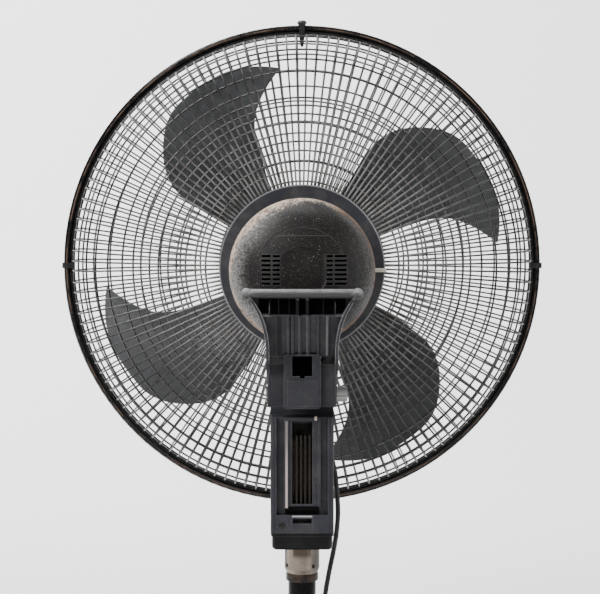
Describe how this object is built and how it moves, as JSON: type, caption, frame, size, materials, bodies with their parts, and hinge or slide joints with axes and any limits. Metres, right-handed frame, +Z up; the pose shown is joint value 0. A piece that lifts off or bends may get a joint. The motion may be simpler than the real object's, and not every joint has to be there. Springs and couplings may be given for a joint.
{
  "type": "desk fan",
  "caption": "Table-height stand fan: round wire cage with scimitar blades, domed motor, tilting fork with handle, vented neck tower, telescopic pole and round weighted base.",
  "frame": {"origin": "middle of the base's underside, on the pole's axis", "axes": "+Z up; the fan blows towards -Y; +X is to the right as seen from the front-facing side -Y"},
  "size_m": [0.5221, 0.3849, 0.7253],
  "materials": {
    "cage_wire": "thin black enamel, dusty and rust-flecked",
    "trim_ring": "gloss black with a coppery worn edge",
    "clip": "gloss black",
    "guard_plate": "satin blue-black",
    "badge": "satin dark grey, plain",
    "lock_pin": "cream nylon",
    "nut": "black",
    "motor_cover": "charcoal, dusty, tan rust on the shoulder",
    "blade": "translucent-looking dark blue-grey, satin",
    "spinner": "black",
    "steel": "ground steel",
    "lamination": "stacked steel sheets",
    "winding": "enamelled copper wire, dark with varnish",
    "bush": "sintered bronze",
    "gearbox": "grey",
    "crank": "white nylon",
    "link": "zinc plated",
    "post": "black die-cast",
    "fork": "dark blue-grey moulded plastic",
    "panel": "dark grey",
    "pin_steel": "zinc plated",
    "wing": "light grey",
    "knob": "black, fluted",
    "tower": "dark blue-grey moulded plastic",
    "module": "dark blue-grey",
    "louvre": "black with brown dust between the fins",
    "strip": "pale pinkish grey",
    "latch": "light grey",
    "cap": "black",
    "pole": "gloss black",
    "inner_pole": "bright chrome",
    "collar": "satin nickel, light rust",
    "screw": "blackened steel",
    "key": "light grey",
    "electrical": "phenolic",
    "capacitor": "white",
    "base_cover": "gloss black",
    "base_weight": "painted iron",
    "pad": "black rubber",
    "cord": "black flexible sleeve",
    "plug": "black moulded",
    "plug_pin": "nickel-plated brass"
  },
  "bodies": {
    "base": {"base_cover": "base_cover", "base_weight": "base_weight", "foot_pads": "pad", "outer_pole": "pole", "height_collar": "collar", "pole_top_ring": "cap", "collar_screws": "screw", "power_cord": "cord", "cord_coil": "cord", "plug": "plug", "plug_pins": "plug_pin"},
    "clamp": {"clamp_knob": "knob"},
    "tower": {"inner_pole": "inner_pole", "tower_front_shell": "tower", "tower_rear_shell": "tower", "bottom_cap": "cap", "rear_module_frame": "module", "vent_louvre": "louvre", "side_strip": "strip", "latch_clip": "latch", "switch_block": "electrical", "run_capacitor": "capacitor", "shell_screw": "screw", "cord_strain_relief": "cord", "tilt_pin": "pin_steel"},
    "tilt_lock": {"tilt_knob": "wing"},
    "off_key": {"key_off": "key"},
    "low_key": {"key_low": "key"},
    "medium_key": {"key_medium": "key"},
    "high_key": {"key_high": "key"},
    "fork": {"tilt_fork": "fork", "module_panel": "panel", "swivel_bush": "bush"},
    "head": {"swivel_post": "post", "motor_front_cover": "motor_cover", "motor_rear_cover": "motor_cover", "stator_core": "lamination", "stator_windings": "winding", "bearing_bushes": "bush", "oscillation_gearbox": "gearbox", "rear_guard_plate": "guard_plate", "rear_guard_nut": "nut", "guard_lock_pin": "lock_pin", "rear_guard_spokes": "cage_wire", "rear_guard_rings": "cage_wire", "front_guard_spokes": "cage_wire", "front_guard_rings": "cage_wire", "front_badge": "badge", "guard_trim_ring": "trim_ring", "guard_clips": "clip", "top_clip": "clip"},
    "top_screw": {"top_clip_screw": "clip"},
    "crank": {"oscillation_crank": "crank"},
    "link": {"oscillation_link": "link"},
    "rotor": {"motor_shaft": "steel", "rotor_core": "lamination", "drive_pin": "steel", "fan_blade": "blade", "spinner_nut": "spinner"}
  },
  "joints": [
    {"name": "height_slide", "type": "slide", "parent": "base", "child": "tower", "axis": [0, 0, 1], "range_m": [0, 0.14]},
    {"name": "clamp_turn", "type": "hinge", "parent": "base", "child": "clamp", "pos_m": [0, -0.027, 0.254], "axis": [0, -1, 0], "range_deg": [0, 270]},
    {"name": "tilt", "type": "hinge", "parent": "tower", "child": "fork", "pos_m": [0, 0, 0.393], "axis": [-1, 0, 0], "range_deg": [-8, 15]},
    {"name": "tilt_lock_turn", "type": "hinge", "parent": "tower", "child": "tilt_lock", "pos_m": [-0.034, 0, 0.393], "axis": [-1, 0, 0], "range_deg": [0, 180]},
    {"name": "oscillation", "type": "hinge", "parent": "fork", "child": "head", "pos_m": [0, 0, 0.43], "axis": [0, 0, 1], "range_deg": [-40, 40]},
    {"name": "crank_turn", "type": "hinge", "parent": "head", "child": "crank", "pos_m": [0, 0.036, 0.435], "axis": [0, 0, 1], "range_deg": [-58, 58]},
    {"name": "link_swing", "type": "hinge", "parent": "crank", "child": "link", "pos_m": [-0.01131, 0.03808, 0.429], "axis": [0, 0, 1], "range_deg": [-58, 58]},
    {"name": "rotor_spin", "type": "hinge", "parent": "head", "child": "rotor", "pos_m": [0, 0, 0.5], "axis": [0, 1, 0], "continuous": true},
    {"name": "top_screw_turn", "type": "hinge", "parent": "head", "child": "top_screw", "pos_m": [0, -0.1115, 0.724], "axis": [0, 0, 1], "range_deg": [0, 270]},
    {"name": "off_key_press", "type": "slide", "parent": "tower", "child": "off_key", "axis": [0, 1, 0], "range_m": [0, 0.004], "stiffness_N_per_m": 400},
    {"name": "low_key_press", "type": "slide", "parent": "tower", "child": "low_key", "axis": [0, 1, 0], "range_m": [0, 0.004], "stiffness_N_per_m": 400},
    {"name": "medium_key_press", "type": "slide", "parent": "tower", "child": "medium_key", "axis": [0, 1, 0], "range_m": [0, 0.004], "stiffness_N_per_m": 400},
    {"name": "high_key_press", "type": "slide", "parent": "tower", "child": "high_key", "axis": [0, 1, 0], "range_m": [0, 0.004], "stiffness_N_per_m": 400}
  ],
  "couplings": [
    {"joint": "crank_turn", "follows": "oscillation", "ratio": -1.44},
    {"joint": "link_swing", "follows": "oscillation", "ratio": 1.44}
  ]
}
